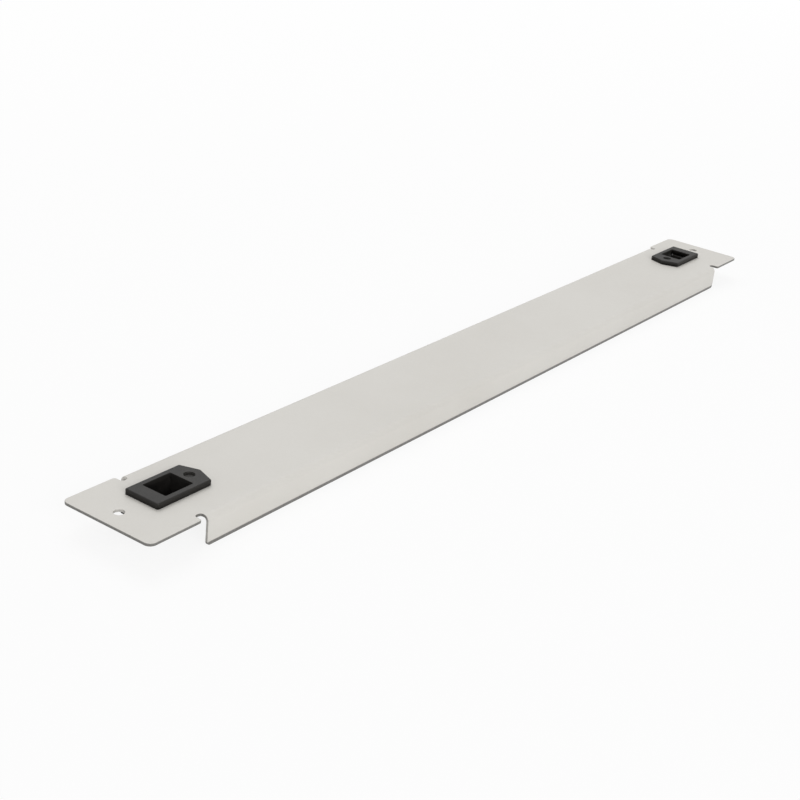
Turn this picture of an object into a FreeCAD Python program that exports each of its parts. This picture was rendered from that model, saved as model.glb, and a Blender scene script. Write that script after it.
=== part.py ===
import FreeCAD, Part
import math
import os

from FreeCAD import Vector

# A one-unit rack blanking panel: a folded steel sheet held by two snap-in plastic clips.
# Frame: +X along the panel, +Y across it, +Z out of the front face. The origin is under the
# middle of the panel, in the plane of the free flange edges. All sizes are in millimetres.

# Steel sheet
panel_length = 482.6        # end to end over both ears, the 19 inch panel width
panel_height = 44.0         # over both folds, one rack unit less its running gap
sheet = 1.2                 # thickness of the coated sheet
flange_depth = 12.0         # front face to the free edges of the folded flanges
bend_inside = 1.3           # inside radius of both folds
ear_length = 25.8           # panel end to relief notch
ear_corner = 3.0            # radius of the outer ear corners
ear_inner_corner = 1.2      # radius of the ear corners at the notches
relief_width = 3.2          # relief notch, along the panel
relief_past_bend = 1.5      # how far the notch runs inwards past the bend line
relief_radius = 1.2         # radius at the foot of the notch
flange_corner = 1.6         # radius of the free flange corners
ear_hole = 4.2              # diameter of the screw hole in each ear
ear_hole_from_end = 8.75    # panel end to hole centre, for holes 465.1 mm apart

# Line that the ear holes and the clips share
clip_line = 2.0             # towards +Y from the panel's middle line

# Rack rail that the ears lie on
rail_from_end = 16.3        # panel end to the inner edge of the rail
rail_thickness = 2.0
rail_play = 0.2             # slack of the rail between ear and hook

# Clip bezel, on the front face
bezel_from_end = 19.4       # panel end to the square end of the bezel
bezel_length = 27.8         # square end to the shoulders
bezel_point = 3.0           # shoulders to the tip of the point
bezel_width = 16.7
bezel_height = 2.4          # above the front face
bezel_round = 0.6           # radius all round the top edge
bezel_end_corner = 0.8      # corner radius at the square end
bezel_shoulder_corner = 0.8
bezel_tip_corner = 1.2
dimple = 4.4                # diameter of the round gate dimple near the tip
dimple_depth = 1.0
dimple_from_pocket = 4.0    # pocket edge to dimple centre

# Clip body, through the window in the sheet
pocket_from_bezel_end = 6.4  # square end of the bezel to the finger pocket
pocket_length = 14.3
pocket_width = 11.7
pocket_corner = 0.5
collar_wall = 1.4
clip_back_gap = 2.5         # clip's back to the plane of the free flange edges
window_fit = 0.15           # gap round the collar in the sheet window
window_corner = 0.4

# Latch: a leaf runs under the pocket and carries the hook arm, whose top is the finger tab
leaf = 1.2                  # thickness of the leaf
leaf_slit = 0.9             # slit between latch and collar, on each side
tab_ledge = 1.2             # how far the finger tab stands into the pocket
tab_thickness = 2.8
tab_gap = 0.4               # slack between the finger tab and the bezel above it
arm_play = 0.4              # slack between arm and sheet window
arm_foot = 2.9              # how much further the arm stands into the pocket at its foot
arm_bow = 0.5               # hollow of the arm's inner face
hook_reach = 2.0            # hook past the edge of the rail
hook_lip = 1.0              # blunt front of the hook
hook_heel = 2.3             # foot of the hook's ramp, outboard of the arm
hook_wall = 1.3             # walls left round the hollows in the hook
hook_ribs = 3               # ribs that carry the ramp of the hook

# Barbs that hold the clip in its window
barb_reach = 0.8
barb_drop = 2.7             # height of the barb's lead-in slope
barb_gap = 0.05             # slack between barb and sheet
side_barb_length = 5.0
end_barb_length = 6.0

fillet_share = 0.45         # a corner radius takes at most this share of the side it rounds

# Worked out from the sizes above
half_length = panel_length / 2
half_height = panel_height / 2
bend_outside = bend_inside + sheet
bend_line = half_height - bend_outside
front = flange_depth
back_of_sheet = front - sheet
ear_start = half_length - ear_length
flange_end = ear_start - relief_width
relief_floor = bend_line - relief_past_bend

bezel_end = half_length - bezel_from_end
bezel_shoulder = bezel_end - bezel_length
bezel_top = front + bezel_height
pocket_outer = bezel_end - pocket_from_bezel_end
pocket_inner = pocket_outer - pocket_length
pocket_half = pocket_width / 2
collar_inner = pocket_inner - collar_wall
collar_half = pocket_half + collar_wall
clip_back = clip_back_gap
tab_inner = pocket_outer - tab_ledge
arm_outer = tab_inner + tab_thickness
collar_outer = arm_outer
latch_half = pocket_half - leaf_slit
hook_tip = half_length - rail_from_end + hook_reach
hook_top = back_of_sheet - rail_thickness - rail_play
window_inner = collar_inner - window_fit
window_outer = arm_outer + arm_play
window_half = collar_half + window_fit


def block(x_range, y_range, z_range):
    """Square block between two planes in each direction."""
    low = Vector(x_range[0], y_range[0], z_range[0])
    high = Vector(x_range[1], y_range[1], z_range[1])
    size = high - low
    return Part.makeBox(size.x, size.y, size.z, low)


def rounded_face(corners):
    """Plane face whose corners are (point, radius), with a true arc at each rounded corner."""
    pieces = []
    joins = []
    for index, (here, radius) in enumerate(corners):
        if radius == 0:
            joins.append((here, here))
            continue
        to_before = (corners[index - 1][0] - here).normalize()
        to_after = (corners[(index + 1) % len(corners)][0] - here).normalize()
        half_angle = to_before.getAngle(to_after) / 2
        reach = radius / math.tan(half_angle)
        to_middle = (to_before + to_after).normalize()
        start = here + to_before * reach
        middle = here + to_middle * (radius / math.sin(half_angle) - radius)
        end = here + to_after * reach
        pieces.append(Part.Arc(start, middle, end).toShape())
        joins.append((start, end))
    for index, join in enumerate(joins):
        next_start = joins[(index + 1) % len(joins)][0]
        pieces.append(Part.makeLine(join[1], next_start))
    return Part.Face(Part.Wire(Part.__sortEdges__(pieces)))


def turned(shape):
    """The shape turned half round about the panel's +Z axis."""
    copy = shape.copy()
    copy.rotate(Vector(0, 0, 0), Vector(0, 0, 1), 180)
    return copy


def at_both_ends(shape):
    """A shape made at the right end on the middle line, moved on to the clips' line at each end."""
    pair = [shape.copy(), turned(shape)]
    for copy in pair:
        copy.translate(Vector(0, clip_line, 0))
    return pair


def front_sheet():
    """Flat front with both ears and the four notches, up to the bend lines."""
    notch_round = min(relief_radius, relief_width * fillet_share)
    quarter = [
        (flange_end, bend_line, 0),
        (flange_end, relief_floor, notch_round),
        (ear_start, relief_floor, notch_round),
        (ear_start, half_height, ear_inner_corner),
        (half_length, half_height, ear_corner),
    ]
    outline = []
    for x_side, y_side in ((1, 1), (1, -1), (-1, -1), (-1, 1)):
        corners = [(Vector(x_side * x, y_side * y, back_of_sheet), r) for x, y, r in quarter]
        outline += corners if x_side == y_side else corners[::-1]
    return rounded_face(outline).extrude(Vector(0, 0, sheet))


def fold():
    """The fold and its flange on the +Y side."""
    bend_centre = Vector(-flange_end, bend_line, front - bend_outside)
    along = math.sqrt(0.5)

    def bend_point(radius, y_share, z_share):
        return bend_centre + Vector(0, radius * y_share, radius * z_share)

    outer = Part.Arc(bend_point(bend_outside, 0, 1), bend_point(bend_outside, along, along),
                     bend_point(bend_outside, 1, 0)).toShape()
    inner = Part.Arc(bend_point(bend_inside, 0, 1), bend_point(bend_inside, along, along),
                     bend_point(bend_inside, 1, 0)).toShape()
    at_front = Part.makeLine(bend_point(bend_inside, 0, 1), bend_point(bend_outside, 0, 1))
    at_flange = Part.makeLine(bend_point(bend_inside, 1, 0), bend_point(bend_outside, 1, 0))
    section = Part.Face(Part.Wire(Part.__sortEdges__([outer, at_flange, inner, at_front])))
    bend = section.extrude(Vector(2 * flange_end, 0, 0))

    y = half_height - sheet
    corner = min(flange_corner, (front - bend_outside) * fillet_share)
    flange = rounded_face([
        (Vector(-flange_end, y, front - bend_outside), 0),
        (Vector(-flange_end, y, 0), corner),
        (Vector(flange_end, y, 0), corner),
        (Vector(flange_end, y, front - bend_outside), 0),
    ]).extrude(Vector(0, sheet, 0))
    return bend.fuse(flange)


def clip_window():
    """What is cut from the sheet for the right clip."""
    corners = [
        (Vector(window_inner, -window_half, back_of_sheet), window_corner),
        (Vector(window_outer, -window_half, back_of_sheet), window_corner),
        (Vector(window_outer, window_half, back_of_sheet), window_corner),
        (Vector(window_inner, window_half, back_of_sheet), window_corner),
    ]
    return rounded_face(corners).extrude(Vector(0, 0, sheet))


def make_panel():
    """The folded sheet with its windows and ear holes."""
    body = front_sheet().fuse([fold(), turned(fold())])
    hole_centre = Vector(half_length - ear_hole_from_end, 0, back_of_sheet)
    screw_hole = Part.makeCylinder(ear_hole / 2, sheet, hole_centre)
    return body.cut(at_both_ends(screw_hole) + at_both_ends(clip_window())).removeSplitter()


def bezel():
    """Arrow-shaped bezel on the front face, rounded along its top edge."""
    half_width = bezel_width / 2
    plate = rounded_face([
        (Vector(bezel_end, -half_width, front), bezel_end_corner),
        (Vector(bezel_end, half_width, front), bezel_end_corner),
        (Vector(bezel_shoulder, half_width, front), bezel_shoulder_corner),
        (Vector(bezel_shoulder - bezel_point, 0, front), bezel_tip_corner),
        (Vector(bezel_shoulder, -half_width, front), bezel_shoulder_corner),
    ]).extrude(Vector(0, 0, bezel_height))
    top_edges = [edge for edge in plate.Edges if edge.BoundBox.ZMin > front + bezel_height / 2]
    return plate.makeFillet(bezel_round, top_edges)


def pocket(z_low, z_high):
    """Finger pocket as it opens in the bezel."""
    corners = [
        (Vector(pocket_inner, -pocket_half, z_low), pocket_corner),
        (Vector(pocket_outer, -pocket_half, z_low), pocket_corner),
        (Vector(pocket_outer, pocket_half, z_low), pocket_corner),
        (Vector(pocket_inner, pocket_half, z_low), pocket_corner),
    ]
    return rounded_face(corners).extrude(Vector(0, 0, z_high - z_low))


def collar():
    """End wall and side walls below the bezel, open at the outer end for the latch."""
    outside = block((collar_inner, collar_outer), (-collar_half, collar_half), (clip_back, front))
    inside = block((pocket_inner, collar_outer), (-pocket_half, pocket_half), (clip_back, front))
    return outside.cut(inside)


def latch():
    """Leaf, arm with its finger tab, and hook, as one strip of constant width."""
    y = -latch_half
    leaf_top = clip_back + leaf
    tab_top = front - tab_gap
    foot = Vector(tab_inner - arm_foot, y, leaf_top)
    tab_edge = Vector(tab_inner, y, tab_top)
    bow = (foot + tab_edge) * 0.5 + Vector(arm_bow, 0, -arm_bow)
    corners = [
        tab_edge,
        Vector(arm_outer, y, tab_top),
        Vector(arm_outer, y, hook_top),
        Vector(hook_tip, y, hook_top),
        Vector(hook_tip, y, hook_top - hook_lip),
        Vector(arm_outer + hook_heel, y, clip_back),
        Vector(collar_inner, y, clip_back),
        Vector(collar_inner, y, leaf_top),
        foot,
    ]
    edges = [Part.makeLine(start, end) for start, end in zip(corners, corners[1:])]
    edges.append(Part.Arc(foot, bow, tab_edge).toShape())
    strip = Part.Face(Part.Wire(edges)).extrude(Vector(0, 2 * latch_half, 0))
    return strip.cut(hook_hollows())


def hook_hollows():
    """Hollows behind the arm and under the hook that leave its ribs, open towards the back."""
    bays = hook_ribs - 1
    bay_width = (2 * latch_half - hook_ribs * hook_wall) / bays
    hollows = []
    for bay in range(bays):
        y_low = -latch_half + hook_wall + bay * (bay_width + hook_wall)
        hollows.append(block((tab_inner + hook_wall, hook_tip - hook_wall),
                             (y_low, y_low + bay_width), (clip_back, hook_top - hook_wall)))
    return hollows


def barb(length):
    """Barb on a wall that faces +Y, in the sheet's back plane, centred on X = 0."""
    top = back_of_sheet - barb_gap
    section = Part.Face(Part.makePolygon([
        Vector(-length / 2, 0, top),
        Vector(-length / 2, barb_reach, top),
        Vector(-length / 2, 0, top - barb_drop),
        Vector(-length / 2, 0, top),
    ]))
    return section.extrude(Vector(length, 0, 0))


def make_clip():
    """The right clip: bezel, collar, latch and barbs as one moulding."""
    pocket_middle = (pocket_inner + pocket_outer) / 2
    side_barb = barb(side_barb_length)
    side_barb.translate(Vector(pocket_middle, collar_half, 0))
    other_barb = turned(barb(side_barb_length))
    other_barb.translate(Vector(pocket_middle, -collar_half, 0))
    end_barb = barb(end_barb_length)
    end_barb.rotate(Vector(0, 0, 0), Vector(0, 0, 1), 90)
    end_barb.translate(Vector(collar_inner, 0, 0))
    rim = bezel().cut(pocket(front, bezel_top))
    dimple_centre = Vector(pocket_inner - dimple_from_pocket, 0, bezel_top - dimple_depth)
    rim = rim.cut(Part.makeCylinder(dimple / 2, dimple_depth, dimple_centre))
    return rim.fuse([collar(), latch(), side_barb, other_barb, end_barb]).removeSplitter()


os.makedirs("parts", exist_ok=True)

panel = make_panel()
panel.exportStep("parts/panel.step")

right_clip, left_clip = at_both_ends(make_clip())
right_clip.exportStep("parts/right_clip.step")
left_clip.exportStep("parts/left_clip.step")
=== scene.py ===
import math

import bmesh
import bpy
from mathutils import Matrix, Vector


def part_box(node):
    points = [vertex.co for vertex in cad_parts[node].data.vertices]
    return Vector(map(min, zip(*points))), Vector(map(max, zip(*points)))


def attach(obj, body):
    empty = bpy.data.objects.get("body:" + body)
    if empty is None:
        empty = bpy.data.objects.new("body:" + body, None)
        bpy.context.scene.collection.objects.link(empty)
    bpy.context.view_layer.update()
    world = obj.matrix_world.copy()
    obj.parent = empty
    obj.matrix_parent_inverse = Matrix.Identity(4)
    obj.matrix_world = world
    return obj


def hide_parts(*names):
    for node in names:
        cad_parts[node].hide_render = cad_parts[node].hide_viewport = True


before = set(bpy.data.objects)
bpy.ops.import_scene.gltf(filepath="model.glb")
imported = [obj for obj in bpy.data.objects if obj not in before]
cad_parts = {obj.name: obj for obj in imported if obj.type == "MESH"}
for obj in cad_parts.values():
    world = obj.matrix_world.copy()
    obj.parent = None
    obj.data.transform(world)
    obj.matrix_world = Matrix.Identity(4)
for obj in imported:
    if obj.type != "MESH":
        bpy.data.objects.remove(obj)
bpy.context.view_layer.update()

# A one-unit rack blanking panel: a folded, coated steel sheet with two black snap-in clips.
# Lengths are in metres. The panel's size comes from its box in the frame, and each clip's shape
# from its solid there.
MM = 0.001

panel_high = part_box("panel")[1]
HALF_LENGTH = panel_high.x
HALF_HEIGHT = panel_high.y
FRONT = panel_high.z

# Sheet and its folds. A window is its inner end, outer end and half width.
SHEET = 1.2 * MM
BEND_OUTSIDE = 2.5 * MM
EAR_LENGTH = 25.8 * MM
EAR_CORNER = 3.0 * MM
EAR_INNER_CORNER = 1.2 * MM
RELIEF_WIDTH = 3.2 * MM
RELIEF_RADIUS = 1.2 * MM
RELIEF_PAST_BEND = 1.5 * MM
FLANGE_CORNER = 1.6 * MM
EAR_HOLE = 4.2 * MM
EAR_HOLE_FROM_END = 8.75 * MM
CLIP_LINE = 2.0 * MM
WINDOW = (199.65 * MM, 217.2 * MM, 7.4 * MM)
WINDOW_CORNER = 0.4 * MM

# Steps in a bend, a corner and half a hole
BEND_STEPS = 16
CORNER_STEPS = 10
HOLE_STEPS = 20

# Points this near are one point, and faces that turn by fewer degrees are one face
SAME_POINT = 0.001 * MM
FLAT_TURN = 1

# Rounded edges: their width, and the turn in degrees from which an edge is rounded
SHEET_EDGE_ROUND = 0.22 * MM
SHEET_EDGE_TURN = 50
MOULD_ROUND = 0.18 * MM
MOULD_TURN = 35
ROUND_SEGMENTS = 3
NORMAL_WEIGHT = 100
SEAT_REACH = 0.01 * MM

# Material slots while a mesh is built, and the share of the edge mark that its rounded edges get:
# wear on the clips, bare steel and painted shade on the sheet
EDGE_SLOT = 1
ROUND_SLOT = 2
ROUND_SHARE = 0.6

# Dark steel colour on the sheet's cut edges, 1 where it is darkest: partly bare steel, partly
# painted shade
# The painted shade is full along the ears' edges and none in the far notches
FLANGE_END_WEAR_AND_SHADE = 0.45
FAR_NOTCH_WEAR_AND_SHADE = 0.0
EAR_HOLE_WEAR_AND_SHADE = 0.35
# Painted contact shadow: the flanges' lowest band, up to this height, takes the dark steel colour
LOWER_SHADOW_TO = 1.5 * MM
LOWER_SHADOW_SOFT = 0.2 * MM
RAGGED_WEAR_AND_SHADE = 0.12
WEAR_AND_SHADE_SPAN = (0.15, 0.85)

# Colours, linear
COAT_DARK = (0.640, 0.620, 0.578, 1)
COAT_LIGHT = (0.668, 0.650, 0.610, 1)
COAT_SPECK = (0.700, 0.684, 0.648, 1)
# Dark steel for the cut edges, which also paints the shade under the ears' edges and the contact
# shadow along the flanges' foot
EDGE_DARK = (0.120, 0.116, 0.108, 1)
EDGE_LIGHT = (0.210, 0.204, 0.192, 1)
PLASTIC_DARK = (0.0118, 0.0108, 0.0096, 1)
PLASTIC_LIGHT = (0.0168, 0.0155, 0.0138, 1)
PLASTIC_RUBBED = (0.046, 0.043, 0.040, 1)
WHITE = (1, 1, 1, 1)
FLOOR_COLOUR = (0.90, 0.90, 0.90, 1)

# Grain sizes and relief depths of the surfaces, and the ranges of their roughness
COAT_CLOUD = 60 * MM
COAT_PEEL = 1.6 * MM
COAT_GRAIN = 0.35 * MM
CUT_MARK = 0.25 * MM
CUT_MARK_STRETCH = (1, 1, 12)
PEEL_DEPTH = 0.012 * MM
COAT_GRAIN_DEPTH = 0.004 * MM
COAT_ROUGHNESS = (0.40, 0.50)
MOULD_CLOUD = 7 * MM
MOULD_GRAIN = 0.28 * MM
MOULD_GRAIN_DEPTH = 0.012 * MM
RUB_PATCH = 2.5 * MM
PLASTIC_ROUGHNESS = (0.46, 0.58)
PLASTIC_GLOSS = 0.26

# Parts of a noise's range that are spread over a whole mix
CLOUD_SPAN = (0.35, 0.65)
GRAIN_SPAN = (0.3, 0.7)
SPECK_SPAN = (0.45, 0.75)
SPECK_SHARE = 0.5
RUB_SPAN = (0.4, 0.7)
CLOUD_DETAIL = 3.0
GRAIN_DETAIL = 2.0
NOISE_ROUGHNESS = 0.55

# Camera: angles in degrees, lens and sensor in millimetres
CAMERA_AZIMUTH = -56.43
CAMERA_ELEVATION = 23.98
CAMERA_ROLL = 6.27
CAMERA_DISTANCE = 0.6266
CAMERA_TARGET = (-0.0782, -0.0083, FRONT)
CAMERA_LENS = 65.8
CAMERA_SENSOR = 36.0
CAMERA_NEAR = 0.01
CAMERA_FAR = 100.0

# Lights: the sky's strength, and each lamp's place, size and power in watts
SKY_LIGHT = 0.50
KEY_PLACE = (0.5, 0.8, 1.6)
KEY_SIZE = 1.4
KEY_POWER = 13.0
FILL_PLACE = (-0.9, -1.9, 0.75)
FILL_SIZE = 1.2
FILL_POWER = 20.5

# Floor, and the share of it that shows white: less near the panel, and none in a patch under
# each clip, given by its middle, half size and soft border
FLOOR_HALF = 6.0
FLOOR_DROP = -0.02 * MM
FLOOR_LIFT = 0.88
LIFT_FROM = 0.3
FULL_LIFT_AT = 1.5
UNDER_CLIP = (208.5 * MM, CLIP_LINE)
UNDER_CLIP_HALF = (10.5 * MM, 6.5 * MM)
UNDER_CLIP_SOFT = 1.0 * MM

# Worked out from the sizes above
BEND_LINE = HALF_HEIGHT - BEND_OUTSIDE
RELIEF_END = BEND_LINE - RELIEF_PAST_BEND
EAR_START = HALF_LENGTH - EAR_LENGTH
FLANGE_END = EAR_START - RELIEF_WIDTH
EAR_HOLE_X = HALF_LENGTH - EAR_HOLE_FROM_END


# ------------------------------------------------------------------ shapes
def rounded_outline(corners):
    """Points of a closed outline whose corners are (x, y, radius), rounded by arcs."""
    points = []
    for index, (x, y, radius) in enumerate(corners):
        here = Vector((x, y))
        if radius == 0:
            points.append(here)
            continue
        before = Vector(corners[index - 1][:2])
        after = Vector(corners[(index + 1) % len(corners)][:2])
        to_before = (before - here).normalized()
        to_after = (after - here).normalized()
        half_angle = to_before.angle(to_after) / 2
        centre = here + (to_before + to_after).normalized() * radius / math.sin(half_angle)
        start = here + to_before * radius / math.tan(half_angle) - centre
        end = here + to_after * radius / math.tan(half_angle) - centre
        turn = start.angle_signed(end)
        for step in range(CORNER_STEPS + 1):
            share = turn * step / CORNER_STEPS
            points.append(centre + Matrix.Rotation(-share, 2) @ start)
    return points


def front_half(y_side):
    """Corners of the flat front on one side of the clips' line, round half of each opening."""
    quarter = [
        (FLANGE_END, BEND_LINE, 0),
        (FLANGE_END, RELIEF_END, RELIEF_RADIUS),
        (EAR_START, RELIEF_END, RELIEF_RADIUS),
        (EAR_START, HALF_HEIGHT, EAR_INNER_CORNER),
        (HALF_LENGTH, HALF_HEIGHT, EAR_CORNER),
    ]
    corners = [(-HALF_LENGTH, CLIP_LINE, 0)]
    corners += [(-x, y_side * y, radius) for x, y, radius in quarter[::-1]]
    corners += [(x, y_side * y, radius) for x, y, radius in quarter]
    corners += [(HALF_LENGTH, CLIP_LINE, 0)]
    hole = []
    for step in range(HOLE_STEPS + 1):
        angle = math.pi * step / HOLE_STEPS
        rise = y_side * EAR_HOLE / 2 * math.sin(angle)
        hole.append((EAR_HOLE / 2 * math.cos(angle), CLIP_LINE + rise))
    inner, outer, half = WINDOW
    window_y = CLIP_LINE + y_side * half
    window = [
        (outer, CLIP_LINE, 0),
        (outer, window_y, WINDOW_CORNER),
        (inner, window_y, WINDOW_CORNER),
        (inner, CLIP_LINE, 0),
    ]
    corners += [(EAR_HOLE_X + x, y, 0) for x, y in hole]
    corners += window
    corners += [(-x, y, radius) for x, y, radius in window[::-1]]
    corners += [(x - EAR_HOLE_X, y, 0) for x, y in hole]
    return corners


def panel_skin():
    """The sheet's outer surface: front, two folds and two flanges."""
    mesh = bmesh.new()
    for side in (-1, 1):
        front = rounded_outline(front_half(side))
        mesh.faces.new([mesh.verts.new((p.x, p.y, FRONT)) for p in front])
    for side in (-1, 1):
        rows = []
        for step in range(BEND_STEPS + 1):
            angle = math.pi / 2 * step / BEND_STEPS
            y = side * (BEND_LINE + BEND_OUTSIDE * math.sin(angle))
            z = FRONT - BEND_OUTSIDE * (1 - math.cos(angle))
            rows.append([mesh.verts.new((x, y, z)) for x in (-FLANGE_END, FLANGE_END)])
        for upper, lower in zip(rows, rows[1:]):
            mesh.faces.new((upper[0], upper[1], lower[1], lower[0]))
        flange = rounded_outline([
            (-FLANGE_END, FRONT - BEND_OUTSIDE, 0),
            (-FLANGE_END, 0, FLANGE_CORNER),
            (FLANGE_END, 0, FLANGE_CORNER),
            (FLANGE_END, FRONT - BEND_OUTSIDE, 0),
        ])
        mesh.faces.new([mesh.verts.new((p.x, side * HALF_HEIGHT, p.y)) for p in flange])
    bmesh.ops.remove_doubles(mesh, verts=mesh.verts, dist=SAME_POINT)
    bmesh.ops.recalc_face_normals(mesh, faces=mesh.faces)
    top = max(mesh.faces, key=lambda face: abs(face.normal.z))
    if top.normal.z < 0:
        bmesh.ops.reverse_faces(mesh, faces=mesh.faces)
    return mesh


def finished(obj):
    """Replaces the object's mesh by its evaluated mesh, and drops the modifiers."""
    bpy.context.view_layer.update()
    evaluated = obj.evaluated_get(bpy.context.evaluated_depsgraph_get())
    mesh = bpy.data.meshes.new_from_object(evaluated)
    obj.modifiers.clear()
    obj.data = mesh


def new_object(name, mesh):
    """A scene object from a bmesh."""
    data = bpy.data.meshes.new(name)
    mesh.to_mesh(data)
    mesh.free()
    obj = bpy.data.objects.new(name, data)
    bpy.context.scene.collection.objects.link(obj)
    return obj


def soften(obj, width, least_turn, seat=None):
    """Rounds the outer edges that turn by least_turn or more, but none that lies at height seat."""
    mesh = bmesh.new()
    mesh.from_mesh(obj.data)
    share = mesh.edges.layers.float.new("bevel_weight_edge")
    for edge in mesh.edges:
        heights = [vertex.co.z for vertex in edge.verts]
        seated = seat is not None and all(abs(height - seat) < SEAT_REACH for height in heights)
        sharp = edge.calc_face_angle_signed() >= math.radians(least_turn)
        edge[share] = 1.0 if sharp and not seated else 0.0
    mesh.to_mesh(obj.data)
    mesh.free()
    rounding = obj.modifiers.new("rounding", "BEVEL")
    rounding.width = width
    rounding.segments = ROUND_SEGMENTS
    rounding.limit_method = "WEIGHT"
    rounding.use_clamp_overlap = False
    rounding.loop_slide = False
    rounding.material = ROUND_SLOT
    for polygon in obj.data.polygons:
        polygon.use_smooth = True
    normals = obj.modifiers.new("normals", "WEIGHTED_NORMAL")
    normals.mode = "FACE_AREA"
    normals.weight = NORMAL_WEIGHT
    finished(obj)


def mark_edges(obj, name, mark_amount=lambda place: 1.0):
    """Stores an edge mark at each point: full on a cut edge, 0 on the flats, scaled by mark_amount;
    wear on the clips, bare steel and painted shade on the sheet. Then keeps one slot.
    """
    mesh = obj.data
    share = [ROUND_SHARE] * len(mesh.vertices)
    for polygon in mesh.polygons:
        if polygon.material_index != ROUND_SLOT:
            for index in polygon.vertices:
                share[index] = 1.0 if polygon.material_index == EDGE_SLOT else 0.0
    share = [value * mark_amount(vertex.co) for value, vertex in zip(share, mesh.vertices)]
    attribute = mesh.attributes.new(name, "FLOAT", "POINT")
    attribute.data.foreach_set("value", share)
    mesh.polygons.foreach_set("material_index", [0] * len(mesh.polygons))
    while len(mesh.materials) > 1:
        mesh.materials.pop(index=len(mesh.materials) - 1)


# ------------------------------------------------------------------ materials
class Nodes:
    """A material's node tree, with short calls to add and join nodes."""

    def __init__(self, name):
        self.material = bpy.data.materials.new(name)
        self.material.use_nodes = True
        self.tree = self.material.node_tree
        self.shader = self.tree.nodes["Principled BSDF"]
        self.place = self.add("ShaderNodeTexCoord").outputs["Object"]

    def add(self, kind, **inputs):
        """A new node, with its sockets set to values or joined to other nodes' sockets."""
        node = self.tree.nodes.new(kind)
        for name, value in inputs.items():
            self.join(value, node.inputs[name.replace("_", " ")])
        return node

    def join(self, value, socket):
        if isinstance(value, bpy.types.NodeSocket):
            self.tree.links.new(value, socket)
        else:
            socket.default_value = value

    def noise(self, size, detail=GRAIN_DETAIL, stretch=(1, 1, 1)):
        """Noise whose grains are about size metres across, and longer along a stretched axis."""
        mapping = self.add("ShaderNodeMapping", Vector=self.place)
        mapping.inputs["Scale"].default_value = [1 / (size * along) for along in stretch]
        texture = self.add("ShaderNodeTexNoise", Vector=mapping.outputs["Vector"],
                           Scale=1.0, Detail=detail, Roughness=NOISE_ROUGHNESS)
        return texture.outputs["Fac"]

    def ramp(self, value, low, high, to_low=0.0, to_high=1.0):
        """Maps value from the range low to high to another range, and clamps it."""
        return self.add("ShaderNodeMapRange", Value=value, From_Min=low, From_Max=high,
                        To_Min=to_low, To_Max=to_high).outputs["Result"]

    def math(self, operation, first, second):
        node = self.tree.nodes.new("ShaderNodeMath")
        node.operation = operation
        self.join(first, node.inputs[0])
        self.join(second, node.inputs[1])
        return node.outputs["Value"]

    def mix(self, share, first, second):
        """Colour between first and second."""
        node = self.tree.nodes.new("ShaderNodeMix")
        node.data_type = "RGBA"
        self.join(share, node.inputs["Factor"])
        self.join(first, node.inputs["A"])
        self.join(second, node.inputs["B"])
        return node.outputs["Result"]

    def attribute(self, name):
        node = self.tree.nodes.new("ShaderNodeAttribute")
        node.attribute_name = name
        return node.outputs["Fac"]

    def bump(self, height, depth, below=None):
        """Normal of a surface whose relief is depth metres high."""
        node = self.add("ShaderNodeBump", Height=height, Strength=1.0, Distance=depth)
        if below is not None:
            self.join(below, node.inputs["Normal"])
        return node.outputs["Normal"]


def powder_coat():
    """Light grey powder coat with a fine orange peel, and a dark steel colour on the cut edges that
    is partly bare steel and partly painted shade.
    """
    n = Nodes("grey_powder_coat")
    cloud = n.noise(COAT_CLOUD, CLOUD_DETAIL)
    peel = n.noise(COAT_PEEL)
    grain = n.noise(COAT_GRAIN)
    shade = n.mix(n.ramp(cloud, *CLOUD_SPAN), COAT_DARK, COAT_LIGHT)
    shade = n.mix(n.ramp(grain, *SPECK_SPAN, 0.0, SPECK_SHARE), shade, COAT_SPECK)
    # Dark steel colour: bare steel on the cut edges, and also painted shade under the ears' edges
    cut_marks = n.noise(CUT_MARK, stretch=CUT_MARK_STRETCH)
    steel_and_shade = n.mix(n.ramp(cut_marks, *GRAIN_SPAN), EDGE_DARK, EDGE_LIGHT)
    raggedness = n.ramp(grain, *GRAIN_SPAN, -RAGGED_WEAR_AND_SHADE, RAGGED_WEAR_AND_SHADE)
    ragged = n.math("ADD", n.attribute("bare_and_shade"), raggedness)
    # Painted contact shadow: the flanges' lowest band takes the dark steel colour
    height = n.add("ShaderNodeSeparateXYZ", Vector=n.place).outputs["Z"]
    band = (LOWER_SHADOW_TO - LOWER_SHADOW_SOFT, LOWER_SHADOW_TO + LOWER_SHADOW_SOFT)
    lower_contact_shadow = n.ramp(height, *band, 1.0, 0.0)
    bare_and_shade = n.math("MAXIMUM", n.ramp(ragged, *WEAR_AND_SHADE_SPAN), lower_contact_shadow)
    n.join(n.mix(bare_and_shade, shade, steel_and_shade), n.shader.inputs["Base Color"])
    n.join(n.ramp(peel, *GRAIN_SPAN, *COAT_ROUGHNESS), n.shader.inputs["Roughness"])
    relief = n.bump(peel, PEEL_DEPTH, n.bump(grain, COAT_GRAIN_DEPTH))
    n.join(relief, n.shader.inputs["Normal"])
    return n.material


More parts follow.
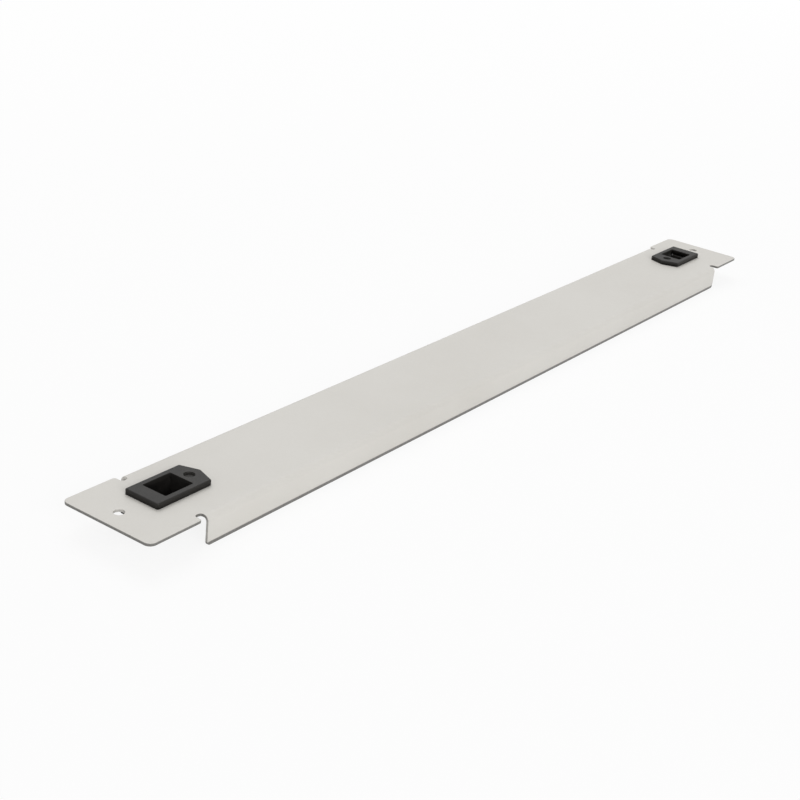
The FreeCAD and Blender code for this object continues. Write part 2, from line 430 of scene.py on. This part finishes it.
def black_plastic():
    """Black moulded plastic with a spark-eroded grain, rubbed lighter along its edges."""
    n = Nodes("black_plastic")
    cloud = n.noise(MOULD_CLOUD, CLOUD_DETAIL)
    grain = n.noise(MOULD_GRAIN)
    shade = n.mix(n.ramp(cloud, *CLOUD_SPAN), PLASTIC_DARK, PLASTIC_LIGHT)
    patches = n.ramp(n.noise(RUB_PATCH, CLOUD_DETAIL), *RUB_SPAN)
    rubbed = n.math("MULTIPLY", n.attribute("rubbed"), patches)
    n.join(n.mix(rubbed, shade, PLASTIC_RUBBED), n.shader.inputs["Base Color"])
    n.join(n.ramp(grain, *GRAIN_SPAN, *PLASTIC_ROUGHNESS), n.shader.inputs["Roughness"])
    n.join(n.bump(grain, MOULD_GRAIN_DEPTH), n.shader.inputs["Normal"])
    n.shader.inputs["Specular IOR Level"].default_value = PLASTIC_GLOSS
    return n.material


# ------------------------------------------------------------------ pieces
def edge_wear_and_shade(place):
    """How dark the sheet's cut edge is at a point: partly bare steel, partly painted shade. Full on
    the ears' edges, the flanges' lower edges and the windows, none in the far notches, less down
    the near flange ends and in the ear holes.
    """
    reach = abs(place.x)
    if reach < FLANGE_END - SHEET:
        return 1.0
    if reach < EAR_START + EAR_INNER_CORNER:
        if place.y > 0:
            return FAR_NOTCH_WEAR_AND_SHADE
        down_the_fold = min(1.0, (FRONT - place.z) / BEND_OUTSIDE)
        return 1.0 + (FLANGE_END_WEAR_AND_SHADE - 1.0) * down_the_fold
    at_hole = abs(reach - EAR_HOLE_X) < EAR_HOLE and abs(place.y - CLIP_LINE) < EAR_HOLE
    return EAR_HOLE_WEAR_AND_SHADE if at_hole else 1.0


def make_panel(material):
    """The folded sheet, with its cut edges rounded and marked dark: bare steel and painted shade.
    """
    panel = new_object("folded_sheet", panel_skin())
    for _ in range(ROUND_SLOT + 1):
        panel.data.materials.append(material)
    thicken = panel.modifiers.new("sheet", "SOLIDIFY")
    thicken.thickness = SHEET
    thicken.offset = -1
    thicken.use_even_offset = True
    thicken.material_offset_rim = EDGE_SLOT
    finished(panel)
    soften(panel, SHEET_EDGE_ROUND, SHEET_EDGE_TURN)
    mark_edges(panel, "bare_and_shade", edge_wear_and_shade)
    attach(panel, "root")
    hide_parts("panel")


def make_clip(node, material):
    """A clip moulding: the frame's solid with its edges rounded as they leave the mould."""
    mesh = bmesh.new()
    mesh.from_mesh(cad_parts[node].data)
    bmesh.ops.remove_doubles(mesh, verts=mesh.verts, dist=SAME_POINT)
    bmesh.ops.dissolve_limit(mesh, angle_limit=math.radians(FLAT_TURN),
                             verts=mesh.verts, edges=mesh.edges)
    clip = new_object(node + "_moulding", mesh)
    clip.data.materials.clear()
    for _ in range(ROUND_SLOT + 1):
        clip.data.materials.append(material)
    for polygon in clip.data.polygons:
        polygon.material_index = 0
    soften(clip, MOULD_ROUND, MOULD_TURN, FRONT)
    mark_edges(clip, "rubbed")
    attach(clip, "root")
    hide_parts(node)


# ------------------------------------------------------------------ stage
def look_at(obj, eye, target, roll=0.0):
    """Puts obj at eye, facing target along its -Z, turned by roll about that line."""
    turn = (target - eye).to_track_quat("-Z", "Y").to_matrix().to_4x4()
    obj.matrix_world = Matrix.Translation(eye) @ turn @ Matrix.Rotation(roll, 4, "Z")


def make_camera():
    """Camera off the left end, above and in front of the panel."""
    data = bpy.data.cameras.new("camera")
    data.lens = CAMERA_LENS
    data.sensor_width = CAMERA_SENSOR
    data.clip_start = CAMERA_NEAR
    data.clip_end = CAMERA_FAR
    camera = bpy.data.objects.new("camera", data)
    bpy.context.scene.collection.objects.link(camera)
    azimuth, elevation = math.radians(CAMERA_AZIMUTH), math.radians(CAMERA_ELEVATION)
    back = Vector((math.sin(azimuth) * math.cos(elevation),
                   -math.cos(azimuth) * math.cos(elevation), math.sin(elevation)))
    target = Vector(CAMERA_TARGET)
    look_at(camera, target + back * CAMERA_DISTANCE, target, math.radians(CAMERA_ROLL))
    bpy.context.scene.camera = camera


def make_lamp(name, place, size, power):
    """A square soft box that faces the middle of the panel."""
    data = bpy.data.lights.new(name, "AREA")
    data.shape = "SQUARE"
    data.size = size
    data.energy = power
    lamp = bpy.data.objects.new(name, data)
    bpy.context.scene.collection.objects.link(lamp)
    look_at(lamp, Vector(place), Vector((0, 0, 0)))


def seen_rays(nodes, links):
    """1 for rays that show a background: from the camera, or off or through something glossy."""
    path = nodes.new("ShaderNodeLightPath")
    total = path.outputs["Is Camera Ray"]
    for name in ("Is Glossy Ray", "Is Transmission Ray"):
        highest = nodes.new("ShaderNodeMath")
        highest.operation = "MAXIMUM"
        links.new(total, highest.inputs[0])
        links.new(path.outputs[name], highest.inputs[1])
        total = highest.outputs["Value"]
    return total


def make_world():
    """White behind the object, and a plain even light from all round."""
    world = bpy.data.worlds.new("studio")
    world.use_nodes = True
    nodes, links = world.node_tree.nodes, world.node_tree.links
    strength = nodes.new("ShaderNodeMapRange")
    links.new(seen_rays(nodes, links), strength.inputs["Value"])
    strength.inputs["To Min"].default_value = SKY_LIGHT
    strength.inputs["To Max"].default_value = 1.0
    background = nodes["Background"]
    background.inputs["Color"].default_value = WHITE
    links.new(strength.outputs["Result"], background.inputs["Strength"])
    bpy.context.scene.world = world


def open_floor(n):
    """1 on the floor, and 0 right under each clip."""
    across = n.add("ShaderNodeSeparateXYZ", Vector=n.place).outputs
    along_x, along_y = n.math("ABSOLUTE", across["X"], 0.0), across["Y"]
    under = []
    for along, middle, half in zip((along_x, along_y), UNDER_CLIP, UNDER_CLIP_HALF):
        off_middle = n.math("ABSOLUTE", n.math("SUBTRACT", along, middle), 0.0)
        under.append(n.ramp(off_middle, half - UNDER_CLIP_SOFT, half + UNDER_CLIP_SOFT, 1.0, 0.0))
    return n.math("SUBTRACT", 1.0, n.math("MULTIPLY", *under))


def make_floor():
    """A plain pale floor, which shows white and keeps the panel's soft shadow."""
    mesh = bmesh.new()
    bmesh.ops.create_grid(mesh, x_segments=1, y_segments=1, size=FLOOR_HALF)
    floor = new_object("floor", mesh)
    floor.location.z = FLOOR_DROP
    n = Nodes("floor")
    n.tree.nodes.remove(n.shader)
    away = n.add("ShaderNodeVectorMath", Vector=n.place)
    away.operation = "LENGTH"
    lift = n.ramp(away.outputs["Value"], LIFT_FROM, FULL_LIFT_AT, FLOOR_LIFT, 1.0)
    lift = n.math("MULTIPLY", lift, open_floor(n))
    share = n.math("MULTIPLY", lift, seen_rays(n.tree.nodes, n.tree.links))
    mixed = n.add("ShaderNodeMixShader", Fac=share)
    plain = n.add("ShaderNodeBsdfDiffuse", Color=FLOOR_COLOUR)
    glow = n.add("ShaderNodeEmission", Color=WHITE, Strength=1.0)
    n.join(plain.outputs["BSDF"], mixed.inputs[1])
    n.join(glow.outputs["Emission"], mixed.inputs[2])
    n.join(mixed.outputs["Shader"], n.tree.nodes["Material Output"].inputs["Surface"])
    floor.data.materials.append(n.material)


make_panel(powder_coat())
plastic = black_plastic()
make_clip("left_clip", plastic)
make_clip("right_clip", plastic)
make_world()
make_floor()
make_lamp("key", KEY_PLACE, KEY_SIZE, KEY_POWER)
make_lamp("fill", FILL_PLACE, FILL_SIZE, FILL_POWER)
make_camera()
bpy.context.scene.view_settings.view_transform = "Standard"

bpy.context.view_layer.update()
